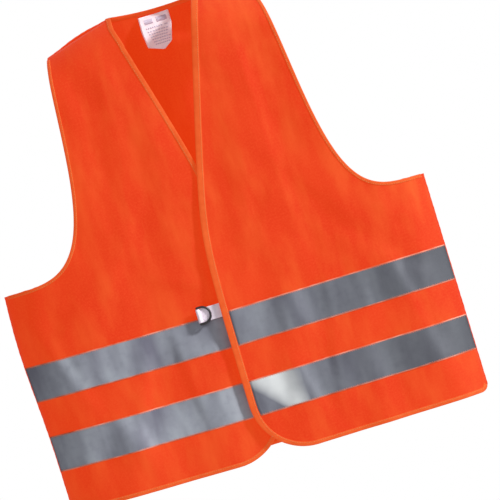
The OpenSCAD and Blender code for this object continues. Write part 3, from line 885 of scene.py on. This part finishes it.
def make_front(side):
    name = SIDE_NAME[side]
    grid = front_grid(side)
    cloth = sheet_piece(f"{name}_front", side, FRONT, grid, 0.0, CLOTH_T, [KNIT])
    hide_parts(f"{name}_front_body", f"{name}_front_flap")
    edge = front_edge_path(side)
    trim = folded_binding(f"{name}_front_binding", side, FRONT, edge, edge_trim(side), TRIM, sign=-1)
    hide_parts(f"{name}_edge_binding")
    edge_run = (side, FRONT, beside(edge, edge_trim(side, EDGE_STITCH_IN), -1), TRIM_TOP)
    bands, band_runs = [], []
    for level, low in LEVELS:
        tape_grid = front_band_grid(side, low)
        tape = band(f"{name}_{level}_band", side, FRONT, tape_grid, BEADS[side, level])
        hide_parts(f"{name}_body_{level}_tape", f"{name}_flap_{level}_tape")
        bands.append((tape, tape_grid))
        band_runs += band_sewing(side, FRONT, tape_grid)
    sewing = stitches(f"{name}_front_stitches", [edge_run], ORANGE_THREAD)
    tape_sewing = stitches(f"{name}_band_stitches", band_runs, GREY_THREAD)
    for obj in (cloth, trim, sewing, tape_sewing, *(tape for tape, _ in bands)):
        ride_front(obj)


# ---------------------------------------- back, armholes, seams
def make_back():
    grid = back_grid()
    cloth = sheet_piece("back", LEFT, BACK, grid, 0.0, CLOTH_T, [KNIT])
    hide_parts("back_panel")
    top = grid[-1]
    neck = top[(top[:, 0] >= -NECK_X[RIGHT] - 1e-6) & (top[:, 0] <= NECK_X[LEFT] + 1e-6)]
    neck_trim = folded_binding("back_neck_binding", LEFT, BACK, neck, ARM_TRIM_W, NECK_TRIM, sign=1)
    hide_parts("neck_binding")
    end = side_corner()
    flat_hem = [(x, 0.0) for x in rise(SIDE_CORNER_R - HALF_W, HALF_W - SIDE_CORNER_R, PATH_STEP)]
    hem = np.array([(-x, h) for x, h in end[::-1]] + flat_hem + end)
    hem_trim = folded_binding("back_hem_binding", LEFT, BACK, hem, HEM_TRIM_W, TRIM, sign=-1)
    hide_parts("hem_binding")
    trims = [neck_trim, hem_trim]
    runs = [
        (LEFT, BACK, beside(neck, ARM_TRIM_W - ARM_STITCH_IN), TRIM_TOP),
        (LEFT, BACK, beside(hem, HEM_TRIM_W - HEM_STITCH_IN, -1), TRIM_TOP),
    ]
    band_runs = []
    for level, low in LEVELS:
        tape_grid = back_band_grid(low)
        tape = band(f"back_{level}_band", LEFT, BACK, tape_grid, BACK_BEADS)
        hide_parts(f"back_{level}_tape")
        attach(tape, "root")
        band_runs += band_sewing(LEFT, BACK, tape_grid)
    tape_sewing = stitches("back_band_stitches", band_runs, GREY_THREAD)
    for side in (RIGHT, LEFT):
        edge = np.concatenate([arm_points(side), [arm_at(side, q) for q in TOP_QS[1:-1]]])
        edge = edge[edge[:, 0] < HALF_W - 0.4 * MM]
        for face, where in ((FRONT, "front"), (BACK, "back")):
            node = f"{SIDE_NAME[side]}_armhole_binding"
            trim = folded_binding(f"{node}_{where}", side, face, edge, ARM_TRIM_W, TRIM, sign=-1)
            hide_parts(node)
            trims.append(trim)
            runs.append((side, face, beside(edge, ARM_TRIM_W - ARM_STITCH_IN, -1), TRIM_TOP))
    sewing = stitches("trim_stitches", runs, ORANGE_THREAD)
    seams = make_seams()
    for obj in (cloth, *trims, sewing, tape_sewing, seams):
        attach(obj, "root")


def make_seams():
    """The rolled side seams and shoulder seams, where the fronts meet the back."""
    verts, faces = [], []
    ring = 8
    for side in (RIGHT, LEFT):
        shoulder = [(x, float(shoulder_h(x)) + 0.2 * MM) for x in rise(NECK_X[side], TIP_X, TRIM_STEP)]
        seam = [(float(side_x(h)) + 0.2 * MM, h) for h in rise(SIDE_CORNER_R * 0.8, UNDERARM_H, TRIM_STEP)]
        for path in (shoulder, seam):
            path = np.array(path)
            n = inward(path)
            start = len(verts)
            for i, p in enumerate(path):
                radius = 1.05 * MM * (1 + 0.12 * math.sin(i * 1.9) + 0.08 * math.sin(i * 0.7))
                for j in range(ring):
                    a = 2 * math.pi * j / ring
                    q = p + n[i] * math.cos(a) * radius
                    aside, up = hang(FRONT, side * q[0], q[1])
                    verts.append((side * q[0] + aside, math.sin(a) * radius, q[1] - BODY_L + up))
            faces += tube_faces(len(path), ring, start) + tube_ends(len(path), ring, start)
    uv = np.array([(v[0] + v[1], v[2]) for v in verts])
    return new_piece("seams", verts, faces, [KNIT], uv=uv)


# ---------------------------------------- closure: tab, ring and strap
def turned(points, angle):
    """Points turned about the left front's roll line."""
    foot = np.array([ROLL_HEM_X, ROLL_Y, HEM_Z])
    axis = np.array([-math.sin(ROLL_TILT), 0, math.cos(ROLL_TILT)])
    v = np.asarray(points, float) - foot
    c, s = math.cos(angle), math.sin(angle)
    return foot + v * c + np.cross(axis, v) * s + np.multiply.outer(v @ axis, axis) * (1 - c)


# The ring's bar, where it would be if the left front didn't lie lifted over the right one
bar_x, bar_y, _ = turned(joints["d_ring_swings"]["pos_m"], -OVER_LIFT)


def webbing_profile(width, thickness):
    """Flat webbing with round edges and a fine ribbed face."""
    ribs = 9
    top = [
        (width * (i / ribs - 0.5) * 0.94, thickness * (0.5 if i % 2 else 0.43)) for i in range(ribs + 1)
    ]
    edge = [(width * 0.5, thickness * 0.2), (width * 0.5, -thickness * 0.2)]
    bottom = [(a, -b) for a, b in top[::-1]]
    return top + edge + bottom + [(-a, -b) for a, b in edge]


def webbing_along(name, path, material=WEBBING, width=WEBBING_W, thickness=WEBBING_T):
    """Webbing whose middle line runs through (x, y) points, standing on edge."""
    path, _ = resample(smooth_path(path), 0.5 * MM)
    out = np.column_stack([inward(path), np.zeros(len(path))])
    centre = np.column_stack([path, np.full(len(path), CLOSURE_Z)])
    across = np.tile([0.0, 0.0, 1.0], (len(path), 1))
    return ribbon(name, centre, across, out, webbing_profile(width, thickness), material)


def smooth_path(points, rounds=3):
    """Rounds the corners of a list of points by cutting them."""
    p = np.asarray(points, float)
    for _ in range(rounds):
        q = [p[0]]
        for a, b in zip(p[:-1], p[1:]):
            q += [a * 0.75 + b * 0.25, a * 0.25 + b * 0.75]
        p = np.array(q + [p[-1]])
    return p


def make_tab():
    """The webbing tab: sewn end, two layers, and the loop round the ring's bar."""
    fold_x = joints["ring_tab_bends"]["pos_m"][0]
    end_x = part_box("ring_tab_end")[1].x - 0.5 * MM
    loop = 2.0 * MM
    near, far = bar_y + 2.0 * MM, bar_y + 3.05 * MM
    turn = [
        (bar_x + loop * math.cos(a), bar_y + loop * math.sin(a))
        for a in np.linspace(math.radians(100), math.radians(350), 14)
    ]
    path = [(end_x, far), (fold_x, far), (bar_x + 8 * MM, far), (bar_x + 3 * MM, far - 0.6 * MM), *turn]
    path += [(bar_x + 3.2 * MM, bar_y + 1.4 * MM), (bar_x + 6 * MM, near), (fold_x, near), (end_x, near)]
    tab = webbing_along("ring_tab_webbing", path)
    co = turned(np.array([v.co[:] for v in tab.data.vertices]), OVER_LIFT)
    share = np.clip((co[:, 0] - bar_x - 4 * MM) / (end_x - bar_x - 9 * MM), 0, 1)
    co[:, 1] -= EDGE_CURL * TAB_CURL * share * share * (3 - 2 * share)
    tab.data.vertices.foreach_set("co", co.ravel())
    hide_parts("ring_tab", "ring_tab_end")
    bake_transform(tab)


def make_ring():
    ring = frame["nodes"]["d_ring"]
    ring.data.materials.clear()
    ring.data.materials.append(PLASTIC)
    for p in ring.data.polygons:
        p.use_smooth = True


def make_strap():
    """The strap's sewn end behind the right front's edge, the fold, and the free end that goes back."""
    lo, hi = strap_lo, strap_hi
    free_lo, free_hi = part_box("closure_strap")
    sewn_y, free_y = (lo.y + hi.y) / 2, (free_lo.y + free_hi.y) / 2
    turn_x, turn_y, turn_r = hi.x - 0.8 * MM, (sewn_y + free_y) / 2, (free_y - sewn_y) / 2
    fold = [
        (turn_x + turn_r * math.cos(a), turn_y + turn_r * math.sin(a)) for a in np.linspace(-1.5, 1.5, 9)
    ]
    path = [(lo.x, sewn_y), *fold, (lo.x, free_y)]
    path += [(free_lo.x + 40 * MM, free_y + 0.2 * MM), (free_lo.x, free_y)]
    strap = webbing_along("strap_webbing", path)
    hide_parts("strap_end", "closure_strap")
    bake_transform(strap)
    for node, material, slot_name in (("hook_patch", HOOKS, "hook_tape"), ("loop_patch", LOOPS, "loop_tape")):
        lo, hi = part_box(node)
        line = [(x, (lo.y + hi.y) / 2) for x in rise(lo.x, hi.x, 6 * MM)]
        patch = webbing_along(f"{node}_pile", line, material, hi.z - lo.z, hi.y - lo.y)
        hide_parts(node)
        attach(patch, "closure_strap")


# ---------------------------------------- care label
LABEL_ASIDE, LABEL_RAISE = 1.5 * MM, 2.5 * MM  # how far the looks stand off the CAD label's place
LABEL_T, PRINT_T = 0.25 * MM, 0.04 * MM
PRINT_STEPS = 8


def make_label():
    lo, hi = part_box("care_label")
    width, length = hi.x - lo.x, hi.z - lo.z
    middle, y = (lo.x + hi.x) / 2, (lo.y + hi.y) / 2
    rows = []
    for f in np.linspace(0, 1, LABEL_ROWS):
        down = f * length
        left = width * np.interp(f, (0, 0.4, 0.86, 1), (-0.5, -0.52, -0.46, 0.0))
        right = width * np.interp(f, (0, 0.34, 0.84, 1), (0.5, 0.5, 0.34, 0.06))
        rows.append([(u, down) for u in np.linspace(left, right, LABEL_COLS)])
    grid = np.array(rows)
    u, down = grid[..., 0].ravel(), grid[..., 1].ravel()

    def place(u, down, proud=0.0):
        """A place on the label, kept in front of the back cloth. proud is how far it stands off."""
        curl = 2.2 * MM * (down / length) ** 3 + 0.7 * MM * np.sin(u * 110) * (down / length)
        x, z = middle + u - LABEL_ASIDE, hi.z + LABEL_RAISE - down
        cloth = SEAM + depth(np.abs(x), z - HEM_Z) + folds(BACK, x, z - HEM_Z)
        return np.stack([x, np.minimum(y - curl, cloth - 0.6 * MM) - proud, z], -1)

    uv = np.stack([u, -down], -1)
    label = new_piece("label", place(u, down), grid_faces(LABEL_ROWS, LABEL_COLS), [SATIN], uv=uv)
    thicken(label, LABEL_T, 0.0)
    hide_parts("care_label")
    bars_v, bars_f, bars_uv = [], [], []
    # Plain printed marks, in shares of the label: top, bottom, start, end
    lines = [(0.10, 0.24, 0.12, 0.42), (0.10, 0.24, 0.55, 0.92)]
    lines += [(0.33, 0.37, 0.12, 0.72), (0.33, 0.37, 0.78, 0.9)]
    for i in range(6):
        lines.append((0.43 + 0.075 * i, 0.462 + 0.075 * i, 0.14 + 0.03 * i, 0.9 - 0.04 * (i % 3)))
    for top, bottom, start, end in lines:
        for column in np.linspace(start, end, PRINT_STEPS + 1)[:-1]:
            wide = (end - start) / PRINT_STEPS * (0.98 if bottom - top > 0.1 else 0.8)
            n = len(bars_v)
            corners = [(column, top), (column + wide, top), (column + wide, bottom), (column, bottom)]
            for a, b in corners:
                q = place(np.array([(a - 0.5) * width * 0.92]), np.array([b * length]), 0.16 * MM)[0]
                bars_v.append(q)
                bars_uv.append((a * width, b * length))
            bars_f.append((n + 3, n + 2, n + 1, n))
    print_bars = new_piece("label_print", bars_v, bars_f, [INK], uv=bars_uv)
    thicken(print_bars, PRINT_T, 0.0)
    row = place(np.linspace(-0.5, 0.5, 12) * width * 0.92, np.full(12, 1.8 * MM), 0.2 * MM)
    sewing_v, sewing_f = [], []
    stitch_row(sewing_v, sewing_f, row, (0.0, -1.0, 0.0), 0.0)
    seam = new_piece("label_stitches", sewing_v, sewing_f, [WHITE_THREAD])
    for obj in (label, print_bars, seam):
        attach(obj, "care_label")


# ---------------------------------------- floor, light
SKY = 0.24  # strength of the all-round light
FLOOR_DROP = 0.25
FLOOR_SIDES = 96
WHITE = (1.0, 1.0, 1.0, 1.0)


def make_studio():
    floor_z = HEM_Z - FLOOR_DROP
    turns = np.linspace(0, 2 * math.pi, FLOOR_SIDES + 1)[:-1]
    ring = [(math.cos(a), math.sin(a), floor_z) for a in turns]
    pale = Nodes("floor", (0.26, 0.26, 0.26, 1.0), 0.9)
    pale.colour(pale.mix(pale.noise(3), (0.24, 0.24, 0.24, 1.0), (0.28, 0.28, 0.28, 1.0)))
    glow(pale, WHITE, 0.66)
    floor = new_piece("floor", ring, [tuple(range(FLOOR_SIDES))], [pale.material], smooth=False)
    world = bpy.data.worlds.new("studio")
    world.use_nodes = True
    tree = world.node_tree
    soft = tree.nodes["Background"]
    soft.inputs["Color"].default_value, soft.inputs["Strength"].default_value = WHITE, SKY
    white = tree.nodes.new("ShaderNodeBackground")
    white.inputs["Color"].default_value = WHITE
    either, ray = tree.nodes.new("ShaderNodeMixShader"), tree.nodes.new("ShaderNodeLightPath")
    tree.links.new(ray.outputs["Is Camera Ray"], either.inputs[0])
    tree.links.new(soft.outputs[0], either.inputs[1])
    tree.links.new(white.outputs[0], either.inputs[2])
    tree.links.new(either.outputs[0], tree.nodes["World Output"].inputs["Surface"])
    bpy.context.scene.world = world
    lights = (  # name, place, size across, power
        ("key", (3.1, -1.45, 1.35), 0.4, 212),
        ("fill", (-1.0, -3.8, 0.2), 2.6, 40),
        ("back_key", (-1.8, 2.6, 1.2), 1.0, 56),
        ("back_fill", (2.0, 2.6, 0.2), 2.0, 14),
    )
    aim = np.array([0.0, 0.0, HEM_Z / 2])
    for name, place, size, power in lights:
        data = bpy.data.lights.new(name, "AREA")
        data.size, data.energy = size, power
        light = bpy.data.objects.new(name, data)
        light.location = place
        away = Vector(place) - Vector(aim)
        light.rotation_euler = away.to_track_quat("Z", "Y").to_euler()
        bpy.context.scene.collection.objects.link(light)
    bpy.context.scene.view_settings.view_transform = "Standard"


make_back()
make_front(RIGHT)
make_front(LEFT)
make_tab()
make_ring()
make_strap()
make_label()
make_studio()
